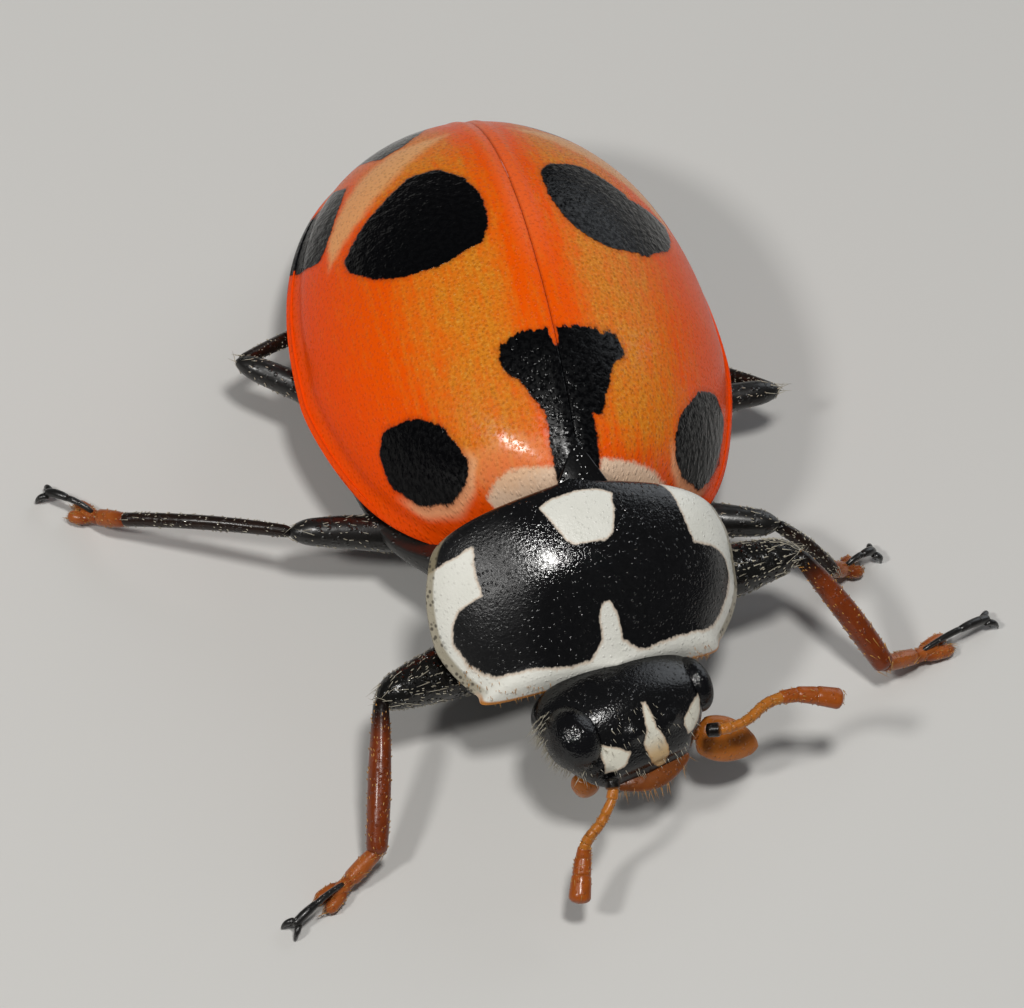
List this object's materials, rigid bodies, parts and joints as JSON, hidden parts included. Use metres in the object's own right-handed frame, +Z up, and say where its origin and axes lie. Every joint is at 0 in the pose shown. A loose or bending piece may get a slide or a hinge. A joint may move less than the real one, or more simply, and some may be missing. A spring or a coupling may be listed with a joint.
{
  "type": "ladybird",
  "caption": "Life-size still model of a red ladybird with black spots, standing on its feet in a walking pose.",
  "frame": {"origin": "middle of the insect's bounding box, at floor level", "axes": "+Z up; the head faces -Y; +X is the insect's own left"},
  "size_m": [0.007, 0.0068, 0.0021],
  "materials": {
    "red_shell": "glossy orange-red shell with fine punctures, black spots and cream patches at the base",
    "black_shell": "glossy black punctured shell with cream-white markings",
    "black_body": "satin black cuticle with fine pale hairs",
    "amber_cuticle": "translucent-looking orange-brown cuticle, satin to glossy",
    "eye": "glossy black faceted eye"
  },
  "bodies": {
    "root": {"scutellum": "black_shell", "elytron_left": "red_shell", "elytron_right": "red_shell", "pronotum": "black_shell", "eye_left": "eye", "eye_right": "eye", "head": "black_shell", "labrum": "amber_cuticle", "antenna_right_shaft": "amber_cuticle", "antenna_right_club": "amber_cuticle", "antenna_left_shaft": "amber_cuticle", "antenna_left_club": "amber_cuticle", "palp_right": "amber_cuticle", "palp_left": "amber_cuticle", "coxa_front_right": "black_body", "femur_front_right": "black_body", "tibia_front_right": "amber_cuticle", "tarsus_front_right": "amber_cuticle", "coxa_front_left": "black_body", "femur_front_left": "black_body", "tibia_front_left": "amber_cuticle", "tarsus_front_left": "amber_cuticle", "coxa_middle_right": "black_body", "femur_middle_right": "black_body", "tibia_middle_right": "black_body", "tarsus_middle_right": "amber_cuticle", "coxa_middle_left": "black_body", "femur_middle_left": "black_body", "tibia_middle_left": "black_body", "tarsus_middle_left": "amber_cuticle", "coxa_hind_right": "black_body", "femur_hind_right": "black_body", "tibia_hind_right": "black_body", "tarsus_hind_right": "amber_cuticle", "coxa_hind_left": "black_body", "femur_hind_left": "black_body", "tibia_hind_left": "black_body", "tarsus_hind_left": "amber_cuticle", "prothorax": "black_body", "thorax": "black_body", "abdomen": "black_body"}
  },
  "joints": []
}
